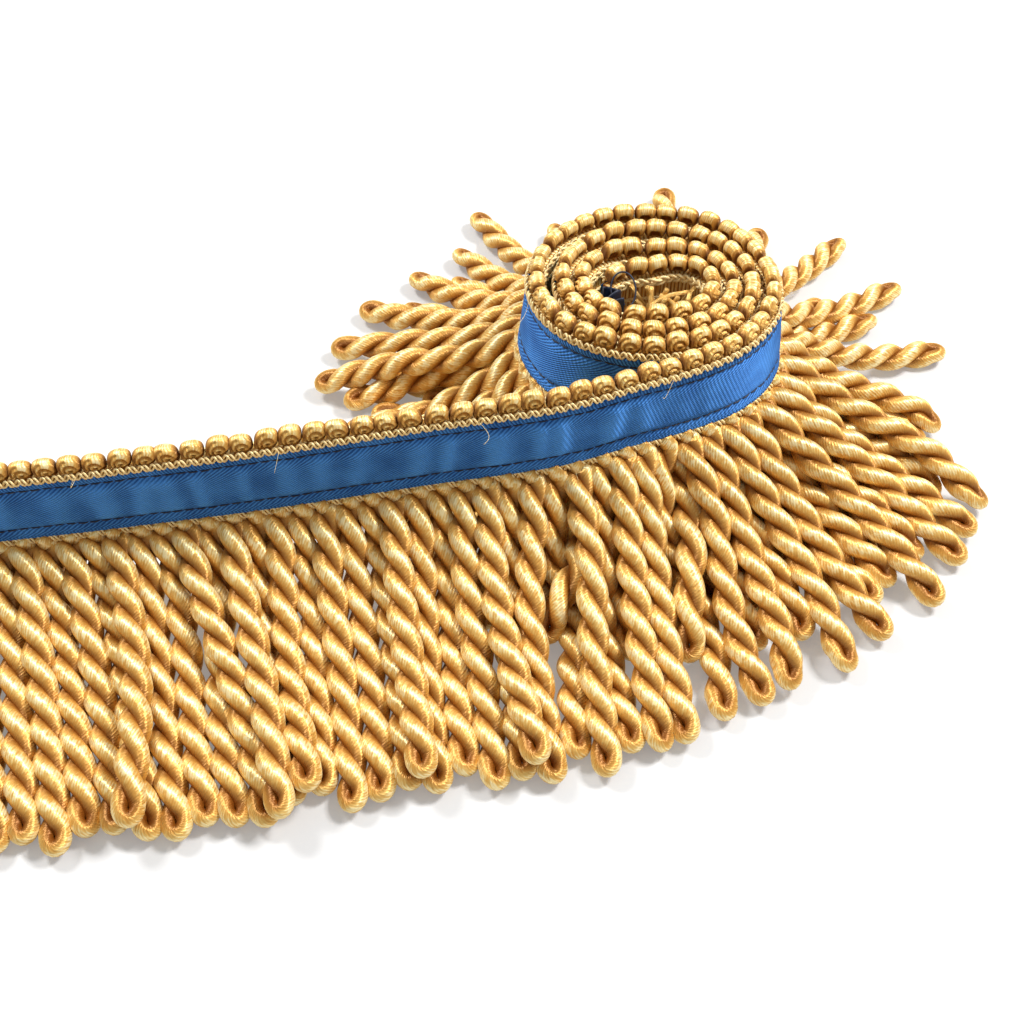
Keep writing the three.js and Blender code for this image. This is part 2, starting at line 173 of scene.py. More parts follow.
def on_trim(distance, offset, height):
    """Place on the trim in millimetres: plan point + out * (offset + flare * (1 - height / full height)),
    and rise + height above the floor."""
    given = (np.asarray(v, float) for v in (distance, offset, height))
    distance, offset, height = np.broadcast_arrays(*given)
    sideways = offset + along("flare", distance) * (1 - height / STANDING_HEIGHT)
    flat = plan_point(distance) + outwards(distance) * sideways[..., None]
    return np.concatenate([flat, (along("rise", distance) + height)[..., None]], -1)


cord_count = int(trim_length // CORD_PITCH)
pitch = trim_length / cord_count
outer_face = TRIM_THICKNESS / 2
rings = np.linspace(0, trim_length, cord_count + 1)[:, None]
both_faces = [outer_face - RIBBON_SOLID, outer_face]
ribbon_corners = on_trim(rings, both_faces * 2, [0, 0, RIBBON_WIDTH, RIBBON_WIDTH])
shift = np.array(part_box("satin_ribbon")[0]) / MM - ribbon_corners.reshape(-1, 3).min(0)
print(f"{cord_count} cords, {pitch:.3f} mm apart; the path moves by {np.round(shift, 3)} mm into the frame")

# %% [markdown]
# Every new mesh comes from whole arrays. A band of rings, each with the same number of points, gives its
# faces by counting: face (i, j) joins neighbours on two rings. The same helper takes one band or hundreds
# at once, because the band number only adds an offset to the point numbers.

# %% Meshes from arrays
def fill(data, key, values, kind=np.float32):
    """Stores a whole array in one property of a mesh's data."""
    data.foreach_set(key, np.asarray(values).astype(kind).ravel())


def new_mesh(name, points, faces, face_uvs, material, **values):
    """Object at the origin from points in millimetres of the trim's own frame, a list of face arrays with
    the uv of each corner, and one value a point for each named attribute."""
    mesh = bpy.data.meshes.new(name)
    mesh.vertices.add(len(points))
    fill(mesh.vertices, "co", (points + shift) * MM)
    corners = np.concatenate([f.ravel() for f in faces])
    sides = np.concatenate([np.full(len(f), f.shape[1]) for f in faces])
    mesh.loops.add(len(corners))
    fill(mesh.loops, "vertex_index", corners, np.int32)
    mesh.polygons.add(len(sides))
    fill(mesh.polygons, "loop_start", np.concatenate([[0], np.cumsum(sides)[:-1]]), np.int32)
    fill(mesh.polygons, "use_smooth", np.ones(len(sides)), bool)
    uv = np.concatenate([u.reshape(-1, 2) for u in face_uvs])
    fill(mesh.uv_layers.new(name="surface").data, "uv", uv)
    for key, value in values.items():
        fill(mesh.attributes.new(key, "FLOAT", "POINT").data, "value", value)
    mesh.update(calc_edges=True)
    mesh.materials.append(material)
    made = bpy.data.objects.new(name, mesh)
    bpy.context.scene.collection.objects.link(made)
    print(f"{name}: {int((sides - 2).sum())} triangles")
    return made


def tubes(grid, around, length):
    """Faces and uvs of closed tubes with flat ends. grid is (tubes, rings, sides, 3), around (sides + 1)
    is u at each side with the seam's second value last, and length (tubes, rings) is v at each ring."""
    count, ring_count, side_count = grid.shape[:3]
    number = np.arange(count * ring_count * side_count).reshape(count, ring_count, side_count)
    after = np.roll(number, -1, axis=2)
    quads = np.stack([number[:, :-1], after[:, :-1], after[:, 1:], number[:, 1:]], -1).reshape(-1, 4)
    u = np.broadcast_to(around, (count, ring_count, side_count + 1))
    v = np.broadcast_to(length[..., None], u.shape)
    uv = np.stack([u, v], -1)
    corner_uvs = [uv[:, :-1, :-1], uv[:, :-1, 1:], uv[:, 1:, 1:], uv[:, 1:, :-1]]
    quad_uv = np.stack(corner_uvs, -2).reshape(-1, 4, 2)
    first, last = number[:, 0, ::-1], number[:, -1]
    return [quads, first, last], [quad_uv, uv[:, 0, -2::-1], uv[:, -1, :-1]]


def piece(made, slot, *nodes):
    """Rides the piece on the one body and hides the measured nodes that it stands for; slot, its finish, is
    not used.
    """
    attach(made, "root")
    if nodes:
        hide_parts(*nodes)
    return made


# %% [markdown]
# Rayon yarn is a bundle of fine, glossy filaments. They show as close lines that lean against the twist,
# some brighter than others. One node group draws them on any yarn: a phase counts filaments round the
# yarn and along it, a sine of that phase is the ridge, and noise stretched along the filaments makes them
# uneven. Each yarn material places the group with its own count and lean.

# %% Filaments of a yarn
RIDGE = 0.14
PATCH_STRETCH = (0.7, 0.2)
PATCH_RANGE = (1.8, -0.15)


def wire(tree, socket, value):
    """Sets a socket to a plain value, or links it to another socket."""
    if isinstance(value, bpy.types.NodeSocket):
        tree.links.new(value, socket)
    else:
        socket.default_value = value


def calculate(tree, operation, *values):
    """Output of a math node on the given values or sockets."""
    node = tree.nodes.new("ShaderNodeMath")
    node.operation = operation
    for socket, value in zip(node.inputs, values):
        wire(tree, socket, value)
    return node.outputs[0]


def sine_of(tree, phase):
    """Sine of 2 pi phase."""
    return calculate(tree, "SINE", calculate(tree, "MULTIPLY", phase, 2 * np.pi))


def first_two(tree, vector):
    """The first two numbers of a vector."""
    node = tree.nodes.new("ShaderNodeSeparateXYZ")
    wire(tree, node.inputs[0], vector)
    return node.outputs[0], node.outputs[1]


def noise_at(tree, vector, scale):
    """Smooth noise from 0 to 1 at a place."""
    node = tree.nodes.new("ShaderNodeTexNoise")
    node.inputs["Scale"].default_value = scale
    node.inputs["Detail"].default_value = 2.0
    wire(tree, node.inputs["Vector"], vector)
    return node.outputs[0]


def blend_colours(tree, share, first, second):
    """Colour that goes from the first to the second as share goes from 0 to 1."""
    node = tree.nodes.new("ShaderNodeMix")
    node.data_type = "RGBA"
    wire(tree, node.inputs[0], share)
    wire(tree, node.inputs[6], first)
    wire(tree, node.inputs[7], second)
    return node.outputs[2]


def new_group(name, inputs, outputs):
    """Empty node group with named sockets, and its input and output nodes."""
    group = bpy.data.node_groups.new(name, "ShaderNodeTree")
    for label, kind in inputs:
        group.interface.new_socket(label, in_out="INPUT", socket_type=kind)
    for label in outputs:
        group.interface.new_socket(label, in_out="OUTPUT", socket_type="NodeSocketFloat")
    return group, group.nodes.new("NodeGroupInput"), group.nodes.new("NodeGroupOutput")


def filament_group():
    """Group: phase = u * count + v * lean; patches = noise of (phase, v * count - u * lean), stretched
    so that it changes slowly along a filament; height = ridge * sin(2 pi phase) + patches."""
    group, given, result = new_group(
        "yarn_filaments",
        [("Surface", "NodeSocketVector"), ("Count", "NodeSocketFloat"), ("Lean", "NodeSocketFloat")],
        ["Height"],
    )
    u, v = first_two(group, given.outputs["Surface"])
    count, lean = given.outputs["Count"], given.outputs["Lean"]
    across, slant = calculate(group, "MULTIPLY", u, count), calculate(group, "MULTIPLY", v, lean)
    onwards, back = calculate(group, "MULTIPLY", v, count), calculate(group, "MULTIPLY", u, lean)
    phase = calculate(group, "ADD", across, slant)
    further = calculate(group, "SUBTRACT", onwards, back)
    stretched = group.nodes.new("ShaderNodeCombineXYZ")
    for socket, value, stretch in zip(stretched.inputs, (phase, further), PATCH_STRETCH):
        wire(group, socket, calculate(group, "MULTIPLY", value, stretch))
    patches = calculate(group, "MULTIPLY_ADD", noise_at(group, stretched.outputs[0], 1.0), *PATCH_RANGE)
    height = calculate(group, "MULTIPLY_ADD", sine_of(group, phase), RIDGE, patches)
    wire(group, result.inputs["Height"], height)
    return group


filaments = filament_group()
print("node group", filaments.name, "with", len(filaments.nodes), "nodes")

# %% [markdown]
# Gold yarn looks pale where the light meets it square, and turns to a burnt orange in the folds, because
# light there has bounced from yarn to yarn. The material paints this in as shade with a value stored on the
# points, fold, which is 1 where the yarn faces its neighbour. On the crest, where fold is 0, the highest
# filaments are painted pale, a painted highlight for the jagged shine of rayon. The colour also follows the
# filaments' height, with painted shade between them and random streaks. Tone shifts whole cords a little.

# %% Gold yarn
GOLD_LIGHT = (0.84, 0.56, 0.175, 1)
GOLD_DEEP = (0.68, 0.34, 0.068, 1)
GOLD_FOLD_SHADE = (0.24, 0.07, 0.008, 1)
PALE_GOLD = (1.0, 0.88, 0.52, 1)
STREAKS_AND_GROOVE_SHADE = (1.6, -0.22)
TONE_SHARE = 0.3
FOLD_DARKENS = -1.7
FOLD_SHARPENS = 2.6
CREST = (2.6, -1.2)
CREST_ENDS = -4.5
CREST_SHARE = 0.7
CM = 10.0


def value_of(tree, name):
    """Output of an attribute node that reads one stored value."""
    node = tree.nodes.new("ShaderNodeAttribute")
    node.attribute_name = name
    return node.outputs["Fac"]


def surface_uv(tree):
    """Output of the uv map that every piece carries, in centimetres."""
    node = tree.nodes.new("ShaderNodeUVMap")
    node.uv_map = "surface"
    return node.outputs[0]


def new_material(name, plain):
    """Material, its node tree and its shader, with plain values set on the shader's named inputs."""
    material = bpy.data.materials.new(name)
    material.use_nodes = True
    shader = material.node_tree.nodes["Principled BSDF"]
    for label, value in plain.items():
        shader.inputs[label].default_value = value
    return material, material.node_tree, shader


def raise_surface(tree, shader, height, relief):
    """Bump of the given height, relief millimetres high."""
    bump = tree.nodes.new("ShaderNodeBump")
    bump.inputs["Distance"].default_value = relief * MM
    wire(tree, bump.inputs["Height"], height)
    wire(tree, shader.inputs["Normal"], bump.outputs[0])


def comb_highlight(tree, shader, strength, turn):
    """Stretches the highlight across the threads: the tangent is the uv's first direction, turned by a
    share of a full turn."""
    tangent = tree.nodes.new("ShaderNodeTangent")
    tangent.direction_type = "UV_MAP"
    tangent.uv_map = "surface"
    wire(tree, shader.inputs["Tangent"], tangent.outputs[0])
    shader.inputs["Anisotropic"].default_value = strength
    shader.inputs["Anisotropic Rotation"].default_value = turn % 1


def yarn(name, count, lean, relief, roughness=0.44, light=GOLD_LIGHT, fold=GOLD_FOLD_SHADE):
    """Yarn material. colour = deep to light by 1.6 height - 0.22 + 0.3 tone - 1.7 fold, painted shade on the
    flanks and between filaments, then to pale gold by 0.7 (2.6 height - 1.2 - 4.5 fold), a painted highlight
    in a jagged band on the crest, then to the fold colour, painted shade in the folds, by fold ** 2.6. The
    bump is the filament group's height, relief millimetres high."""
    material, tree, shader = new_material(name, {
        "Roughness": roughness, "Metallic": 0.35, "Specular IOR Level": 1.0, "Specular Tint": PALE_GOLD,
    })
    group = tree.nodes.new("ShaderNodeGroup")
    group.node_tree = filaments
    for label, value in (("Surface", surface_uv(tree)), ("Count", count), ("Lean", lean)):
        wire(tree, group.inputs[label], value)
    height, folded = group.outputs["Height"], value_of(tree, "fold")
    streaks_and_groove_shade = calculate(tree, "MULTIPLY_ADD", height, *STREAKS_AND_GROOVE_SHADE)
    toned = calculate(tree, "MULTIPLY_ADD", value_of(tree, "tone"), TONE_SHARE, streaks_and_groove_shade)
    shaded = calculate(tree, "MULTIPLY_ADD", folded, FOLD_DARKENS, toned)
    lit = calculate(tree, "MULTIPLY_ADD", height, *CREST)
    crest = calculate(tree, "MULTIPLY_ADD", folded, CREST_ENDS, lit)
    shaded.node.use_clamp = crest.node.use_clamp = True
    painted_fold_shade = calculate(tree, "POWER", folded, FOLD_SHARPENS)
    # Painted light and shade: darker in the folds and between filaments, a pale painted highlight on the
    # crest.
    plain = blend_colours(tree, shaded, GOLD_DEEP, light)
    with_painted_highlight = blend_colours(tree, calculate(tree, "MULTIPLY", crest, CREST_SHARE), plain, PALE_GOLD)
    wire(tree, shader.inputs["Base Color"], blend_colours(tree, painted_fold_shade, with_painted_highlight, fold))
    raise_surface(tree, shader, height, relief)
    comb_highlight(tree, shader, 0.9, np.arctan2(lean, count) / (2 * np.pi))
    return material


cord_yarn = yarn("cord_yarn", 13.0, -23.0, 0.13)
print("material", cord_yarn.name)

# %% [markdown]
# Each cord starts straight down from its root, leans out over the cords below it and reaches the floor.
# A table says how high each turn of the roll leans, and the hidden cords are fanned out by a second one.
# These are the same numbers that shaped the strands of the measured part, so both lie in the same place.

# %% First lay of the cords
CORD_LINKS = 24
CORD_RADIUS = 2.75
STRAIGHT_END = 150
TURN_BACKS = [0, 150, 255, 372, 467]
TURN_LEVELS = np.array([9.5, 16.5, 11.5, 7.0, 3.5])
HIDDEN_FROM = [-180, -150, -121, -119, -90, -60, -30, 0, 38, 40, 50, 52, 90, 115, 117, 150, 180]
HIDDEN_TO = [-166, -152, -128, -118, -98, -74, -52, -36, -20, 30, 40, 60, 90, 112, 140, 172, 194]
UNDER_HEADING = 3.2
LAY_AWAY = [0, 0.3, 2.5, 9, 22, 40, 58]
BEARING_SPREAD = (7, 6)
LENGTH_SPREAD = 0.05
LEVEL_SPREAD = (5, 2)


def chance(k, salt):
    """Repeatable number from 0 to 1 for each k: the fraction of a large multiple of a sine."""
    value = np.sin(k * 12.9898 + salt * 78.233) * 43758.5453
    return value - np.floor(value)


def swing(k, salt):
    """Repeatable number from -0.5 to 0.5 for each k."""
    return chance(k, salt) - 0.5


def first_lay():
    """Points (cord, link, 3) of every cord before it settles, the length of its links and its ceiling."""
    k = np.arange(cord_count)
    distance = (k + 0.5) * pitch
    back = trim_length - distance
    root = on_trim(distance, 0, 0)
    out = outwards(distance)
    plan = plan_point(distance)
    straight = back < STRAIGHT_END
    square = np.degrees(np.arctan2(out[:, 1], out[:, 0])) + along("turn", distance)
    hidden = np.interp(np.degrees(np.arctan2(plan[:, 1], plan[:, 0])), HIDDEN_FROM, HIDDEN_TO)
    bearing = np.where(back > TURN_BACKS[2], hidden, square)
    bearing = bearing + swing(k, 1) * np.where(straight, *BEARING_SPREAD)
    length = along("cord", distance) * (1 + LENGTH_SPREAD * swing(k, 2))
    rise = along("rise", distance)
    layer = TURN_LEVELS[np.searchsorted(TURN_BACKS, back, side="right") - 1]
    uneven = swing(k, 3) * np.where(straight, *LEVEL_SPREAD)
    level = np.where(straight, np.minimum(rise - 5, layer), layer) + uneven
    away = np.broadcast_to(LAY_AWAY, (cord_count, len(LAY_AWAY)))
    low = CORD_RADIUS + np.where(straight, 0.3, 0)
    high = np.stack([
        rise, rise - 4, np.maximum(rise - 8, level + 1), level, level * 0.75 + 0.7, level * 0.4 + 1.7, low,
    ], 1)
    knots = running_total(np.hypot(np.diff(away), np.diff(high)))
    s = length[:, None] * np.arange(CORD_LINKS + 1) / CORD_LINKS
    reach = np.stack([np.interp(s[i], knots[i], away[i]) for i in k]) + np.maximum(0, s - knots[:, -1:])
    height = np.stack([np.interp(s[i], knots[i], high[i]) for i in k])
    angle = np.radians(bearing)[:, None]
    points = np.stack([
        root[:, :1] + np.cos(angle) * reach, root[:, 1:2] + np.sin(angle) * reach, height,
    ], -1)
    return points, length / CORD_LINKS, np.maximum(rise - UNDER_HEADING, CORD_RADIUS)


laid, links, ceilings = first_lay()
print(f"{len(laid)} cords, {links.min() * CORD_LINKS:.1f} to {links.max() * CORD_LINKS:.1f} mm long")

# %% [markdown]
# A settling sum then finds how the cords really lie: in each round they sink, take back their length, ease
# their bends, push their neighbours apart and stay between floor and heading. Their first two points are
# held by the heading. Only the points from HELD on are free to move.

# %% Settling
ROUNDS = 260
SINKAGE = 0.12
LAST_SINKAGE = 0.15
EASE_TIMES = 3
PAIRS_EVERY = 6
CROWDING = 0.6
STIFFNESS = 0.22
HELD = 2
REACH = 7.5
CLEARANCES = np.array([1.9, 2.1, 2.1, 2.4, 2.4] + [2.65] * (CORD_LINKS - 4))
free = (np.arange(CORD_LINKS + 1) >= HELD).astype(float)


def restore_lengths(cords):
    """Moves the two ends of every second link towards each other or apart until it has its length."""
    for parity in (0, 1):
        near, far = cords[:, parity:CORD_LINKS:2], cords[:, parity + 1::2]
        near_free, far_free = free[parity:CORD_LINKS:2, None], free[parity + 1::2, None]
        gap = far - near
        size = np.linalg.norm(gap, axis=2, keepdims=True) + 1e-9
        share = (size - links[:, None, None]) / size / np.maximum(near_free + far_free, 1)
        near += gap * share * near_free
        far -= gap * share * far_free


def ease_bends(cords):
    """Moves each point part of the way to the middle of its neighbours, and the tip towards straight on."""
    old = cords.copy()
    cords[:, HELD:-1] += STIFFNESS * (0.5 * (old[:, HELD - 1:-2] + old[:, HELD + 1:]) - old[:, HELD:-1])
    cords[:, -1] += STIFFNESS * (2 * old[:, -2] - old[:, -3] - old[:, -1])


def near_pairs(points):
    """Numbers of all pairs of points on two cords that are nearer than the reach."""
    order = np.argsort(points[:, 0])
    x = points[order, 0]
    stop = np.searchsorted(x, x + REACH)
    count = stop - np.arange(len(x)) - 1
    first = np.repeat(np.arange(len(x)), count)
    second = first + 1 + np.arange(len(first)) - np.repeat(np.cumsum(count) - count, count)
    a, b = order[first], order[second]
    other = a // (CORD_LINKS + 1) != b // (CORD_LINKS + 1)
    a, b = a[other], b[other]
    close = ((points[a] - points[b]) ** 2).sum(1) < REACH**2
    return a[close], b[close]


def push_apart(points, pairs):
    """Moves both points of each pair that is too near by half of what is missing, less in a crowd."""
    a, b = pairs
    gap = points[b] - points[a]
    size = np.linalg.norm(gap, axis=1) + 1e-9
    overlap = CLEARANCES[a % (CORD_LINKS + 1)] + CLEARANCES[b % (CORD_LINKS + 1)] - size
    hit = overlap > 0
    a, b = a[hit], b[hit]
    move = (0.5 * overlap[hit] / size[hit])[:, None] * gap[hit]
    both = np.concatenate([a, b])
    moves = np.concatenate([-move, move])
    count = np.bincount(both, minlength=len(points))
    total = np.stack([np.bincount(both, moves[:, axis], len(points)) for axis in range(3)], 1)
    loose = np.tile(free, len(points) // (CORD_LINKS + 1))
    points += total * (loose / np.maximum(count * CROWDING, 1))[:, None]


def settle(cords):
    """Runs the rounds of the settling sum on all the cords at once."""
    points = cords.reshape(-1, 3)
    for number in range(ROUNDS):
        cords[:, HELD:, 2] -= SINKAGE * max(LAST_SINKAGE, 1 - number / ROUNDS)
        for _ in range(EASE_TIMES):
            restore_lengths(cords)
            ease_bends(cords)
        if number % PAIRS_EVERY == 0:
            pairs = near_pairs(points)
        push_apart(points, pairs)
        push_apart(points, pairs)
        cords[:, HELD:, 2] = np.maximum(cords[:, HELD:, 2], CORD_RADIUS)
        cords[:, HELD + 1:, 2] = np.minimum(cords[:, HELD + 1:, 2], ceilings[:, None])
    return cords


cords = settle(laid)
print(f"settled: tips lie {cords[:, -1, 2].min():.2f} to {cords[:, -1, 2].max():.2f} mm up")

# %% [markdown]
# A bullion cord is one thick yarn, twisted hard and folded in half, so that it winds back round itself
# and ends in a loop. One tube therefore runs down the cord as a helix, round the loop as half an ellipse
# and back up as the other helix. Its section is carried along with one direction always facing away from
# the cord's middle, which is also how the fold value is known. The cords are wider than their pitch, so
# neighbours sit partly in each other here, where the soft real ones give way.

# %% Twisted cords
PLY_RADIUS = 1.88
ROOT_PLY_RADIUS = 1.5
LOOP_PLY_RADIUS = 1.48
HELIX_RADIUS = 1.3
ROOT_HELIX_RADIUS = 1.05
HALF_TURN = 9.0
LOOP_RADIUS = 1.5
LOOP_REACH = 2.1
LOOP_OPENS = 2.5
ROOT_EASE = 3.0
TIP_INSET = 1.85
HELIX_RINGS = 64
LOOP_RINGS = 9
PLY_SIDES = 12
FOLD_MEETS = 1.18
TWIST_SLOWS = 1.6
TWIST_SPREAD = 0.7
FIRST_TURN = 1.9
FIRST_TURN_SPREAD = 0.9
UV_STEP = 3.7
OUTER_TURN_ENDS = 320


def ramp(x):
    """Goes from 0 to 1 as x does, level at both ends: x * x * (3 - 2 x)."""
    x = np.clip(x, 0, 1)
    return x * x * (3 - 2 * x)


def unit(vectors):
    """Vectors scaled to length 1."""
    return vectors / (np.linalg.norm(vectors, axis=-1, keepdims=True) + 1e-12)


def cord_axis(lay, link, s):
    """Place and direction on each cord at the distances s: the Catmull-Rom curve through its links."""
    t = s / link[:, None]
    every = np.arange(len(lay))[:, None]
    index = np.clip(np.floor(t).astype(int), 0, CORD_LINKS - 1)
    f = (t - index)[..., None]
    a, b, c, d = (lay[every, np.clip(index + j, 0, CORD_LINKS)] for j in (-1, 0, 1, 2))
    first, second, third = c - a, 2 * a - 5 * b + 4 * c - d, 3 * (b - c) + d - a
    return b + 0.5 * f * (first + f * (second + f * third)), unit(first + 2 * f * second + 3 * f * f * third)


def ply_route(lay, link, numbers):
    """Centre line of the yarn in each cord, the direction away from the cord's middle, and its radius.
    Down and up: axis + radius * (cos turn * side + sin turn * under), with turn going by half a turn
    every 9 mm. Loop: axis along an ellipse, radius * cos, reach * sin."""
    straight = (link * CORD_LINKS - TIP_INSET - LOOP_REACH)[:, None]
    down = np.linspace(0, 1, HELIX_RINGS)[None] * straight
    round_loop = np.linspace(0, np.pi, LOOP_RINGS + 2)[None, 1:-1]
    loop = straight + LOOP_REACH * np.sin(round_loop)
    s = np.concatenate([down, loop, down[:, ::-1]], 1)
    flat = np.ones_like(down)
    reach = np.concatenate([flat, np.cos(round_loop) * np.ones_like(loop), -flat], 1)
    lift = np.concatenate([0 * down, np.sin(round_loop) * np.ones_like(loop), 0 * down], 1)
    axis, ahead = cord_axis(lay, link, s)
    chord = lay[:, -1] - lay[:, 0]
    side = unit(np.stack([chord[:, 1], -chord[:, 0], 0 * chord[:, 0]], 1))[:, None]
    side = unit(side - (side * ahead).sum(-1, keepdims=True) * ahead)
    under = np.cross(ahead, side)
    x = np.minimum(s / straight, 1)
    slow = 1 - TWIST_SLOWS / straight
    eased = np.where(x < slow, x, x - (x - slow) ** 2 / (2 * (1 - slow))) / ((1 + slow) / 2)
    half_turns = np.round(straight / HALF_TURN + TWIST_SPREAD * swing(numbers, 4)[:, None])
    start = FIRST_TURN + FIRST_TURN_SPREAD * swing(numbers, 7)[:, None]
    last = swing(numbers, 5)[:, None] - np.pi * half_turns
    turn = start * (1 - eased) + last * eased
    opening = ramp((s - straight + LOOP_OPENS) / LOOP_OPENS)
    radius = ROOT_HELIX_RADIUS + (HELIX_RADIUS - ROOT_HELIX_RADIUS) * ramp(s / ROOT_EASE)
    radius += (LOOP_RADIUS - HELIX_RADIUS) * opening
    away = np.cos(turn)[..., None] * side + np.sin(turn)[..., None] * under
    centre = axis + (radius * reach)[..., None] * away
    outward = reach[..., None] * away + lift[..., None] * ahead
    thick = ROOT_PLY_RADIUS + (PLY_RADIUS - ROOT_PLY_RADIUS) * ramp(s / ROOT_EASE)
    return centre, outward, thick + (LOOP_PLY_RADIUS - PLY_RADIUS) * opening


def carried(centre, outward, thick, angles):
    """Points of tubes: centre + thick * (cos angle * out + sin angle * aside), square to the travel."""
    travel = unit(np.gradient(centre, axis=1))
    out = unit(outward - (outward * travel).sum(-1, keepdims=True) * travel)
    aside = np.cross(travel, out)
    out, aside = out[:, :, None], aside[:, :, None]
    spread = np.cos(angles)[:, None] * out + np.sin(angles)[:, None] * aside
    return centre[:, :, None] + thick[..., None, None] * spread


def run_length(centre):
    """Distance along each centre line."""
    return running_total(np.linalg.norm(np.diff(centre, axis=1), axis=-1))


def twisted_cords(name, numbers):
    """One mesh with the cords of the given numbers."""
    centre, outward, thick = ply_route(cords[numbers], links[numbers], numbers)
    around = np.linspace(0, 1, PLY_SIDES + 1)
    angles = 2 * np.pi * (around[:-1] - 0.5)
    grid = carried(centre, outward, thick, angles)
    grid[..., 2] = np.maximum(grid[..., 2], 0)
    length = run_length(centre) / CM + UV_STEP * numbers[:, None]
    faces, uvs = tubes(grid, around, length)
    # fold runs from 0 on the outside to 1 where the yarn faces the cord's middle, where the yarn material
    # paints shade.
    fold = np.broadcast_to(np.minimum((1 - np.cos(angles)) / FOLD_MEETS, 1), grid.shape[:3])
    tone = np.broadcast_to(swing(numbers, 6)[:, None, None], grid.shape[:3])
    return new_mesh(name, grid.reshape(-1, 3), faces, uvs, cord_yarn, fold=fold, tone=tone)


back_of_cord = trim_length - (np.arange(cord_count) + 0.5) * pitch
zones = {
    "cords_of_loose_end": back_of_cord < STRAIGHT_END,
    "cords_of_outer_turn": (back_of_cord >= STRAIGHT_END) & (back_of_cord < OUTER_TURN_ENDS),
    "cords_of_inner_turns": back_of_cord >= OUTER_TURN_ENDS,
}
for zone, chosen in zones.items():
    piece(twisted_cords(zone, np.flatnonzero(chosen)), "gold_cord", "bullion_fringe")

# %% [markdown]
# The blue ribbon is a satin weave: smooth, with fine slanting lines and a firm beaded edge. It is sewn on
# with two dark lines of stitching that pull it in, and between them it puckers where the trim lies
# straight. It is made as a closed section carried along the trim, so it has a real thickness, and the
# weave is a bump on its own uv map, where u and v are centimetres along and across.

# %% Satin ribbon
RIBBON_THICKNESS = 0.5
STITCH_HEIGHTS = (2.9, 13.2)
STITCH_DEPTH = 0.3
STITCH_SPREAD = 0.5
SELVEDGE = 0.45
SELVEDGE_LIFT = 0.15
SELVEDGE_SPREAD = 0.5
RIBBON_STEP = 0.7
PUCKER_SPACING = 7.6
PUCKER_WANDER = 0.7
PUCKER_WIDTHS = (1.2, 1.3)
PUCKER_SIZES = (0.35, 0.6)
PUCKER_SLANT = 0.35
PUCKER_EASE = 1.6
PUCKERED_LENGTH = 145
UNPUCKERED_SHARE = 0.14
SATIN_LINES = (19.5, 9.0)
SATIN_FLOATS = (-5.0, 12.0)
SELVEDGE_LINES = (7.0, -14.5)
SELVEDGE_LINES_CM = 0.155
BLUE_LIGHT = (0.086, 0.32, 0.80, 1)
BLUE_DEEP = (0.0115, 0.071, 0.28, 1)


def puckers(distance, height):
    """Sum of soft ridges across the ribbon: each exp(-(distance / width)^2), between the stitch lines."""
    k = np.arange(int(trim_length / PUCKER_SPACING) + 1)
    middle = (k + PUCKER_WANDER * swing(k, 11)) * PUCKER_SPACING
    width = PUCKER_WIDTHS[0] + PUCKER_WIDTHS[1] * chance(k, 12)
    size = PUCKER_SIZES[0] + PUCKER_SIZES[1] * chance(k, 13)
    size = size * np.where(trim_length - middle < PUCKERED_LENGTH, 1, UNPUCKERED_SHARE)
    slant = PUCKER_SLANT * swing(k, 14)
    offset = distance[..., None] - middle - slant * (height[..., None] - RIBBON_WIDTH / 2)
    ridges = (size * np.exp(-(offset / width) ** 2)).sum(-1)
    low, high = STITCH_HEIGHTS
    window = np.clip((height - low) / PUCKER_EASE, 0, 1) * np.clip((high - height) / PUCKER_EASE, 0, 1)
    return ridges * ramp(window)


def ribbon_face(distance, height):
    """Offset of the ribbon's outer face: drawn in at the stitches, thicker at the selvedges, puckered."""
    drawn = sum(np.exp(-((height - line) / STITCH_SPREAD) ** 2) for line in STITCH_HEIGHTS)
    edge = sum(np.exp(-(gap / SELVEDGE_SPREAD) ** 2) for gap in (height, RIBBON_WIDTH - height))
    return outer_face - STITCH_DEPTH * drawn + SELVEDGE_LIFT * edge + puckers(distance, height)


def satin_ribbon():
    """Closed band: up the outer face and down the inner one, with round selvedges."""
    up = np.concatenate([
        [0.0, 0.12, 0.45, 1.0, 1.7, 2.3, 2.6, 2.9, 3.2, 3.6, 4.3], np.linspace(5.3, 11.0, 7),
        [11.9, 12.5, 12.9, 13.2, 13.5, 13.9, 14.3, 14.65, 14.9, 15.0],
    ])
    steps = int(trim_length / RIBBON_STEP)
    distance = np.linspace(0, trim_length, steps + 1)[:, None]
    heights = np.broadcast_to(up, (steps + 1, len(up)))
    face = ribbon_face(np.broadcast_to(distance, heights.shape), heights)
    inner = outer_face - RIBBON_THICKNESS
    inset = np.clip(SELVEDGE - np.minimum(up, RIBBON_WIDTH - up), 0, None) / SELVEDGE
    face = inner + (face - inner) * np.maximum(np.sqrt(1 - inset**2), 0.25)
    back = np.array([14.7, 10.0, 5.0, 0.3])
    offset = np.concatenate([face, np.full((steps + 1, len(back)), inner)], 1)
    height = np.concatenate([heights, np.broadcast_to(back, (steps + 1, len(back)))], 1)
    grid = on_trim(distance, offset, height)[None, :, ::-1]
    around = np.concatenate([height[0], height[0, :1]])[::-1] / CM
    faces, uvs = tubes(grid, around, distance[None, :, 0] / CM)
    # The pucker height goes to the tone value, from which the satin paints light on the ridges and shade in
    # the valleys.
    pucker_light_and_shade = puckers(np.broadcast_to(distance, height.shape), height)[None, :, ::-1]
    return new_mesh("ribbon", grid.reshape(-1, 3), faces, uvs, ribbon_satin, tone=pucker_light_and_shade)


def waves(tree, up, run, rise, slope):
    """Sine of 2 pi (up * rise + run * slope): lines with so many to the centimetre each way."""
    return sine_of(tree, calculate(tree, "MULTIPLY_ADD", run, slope, calculate(tree, "MULTIPLY", up, rise)))


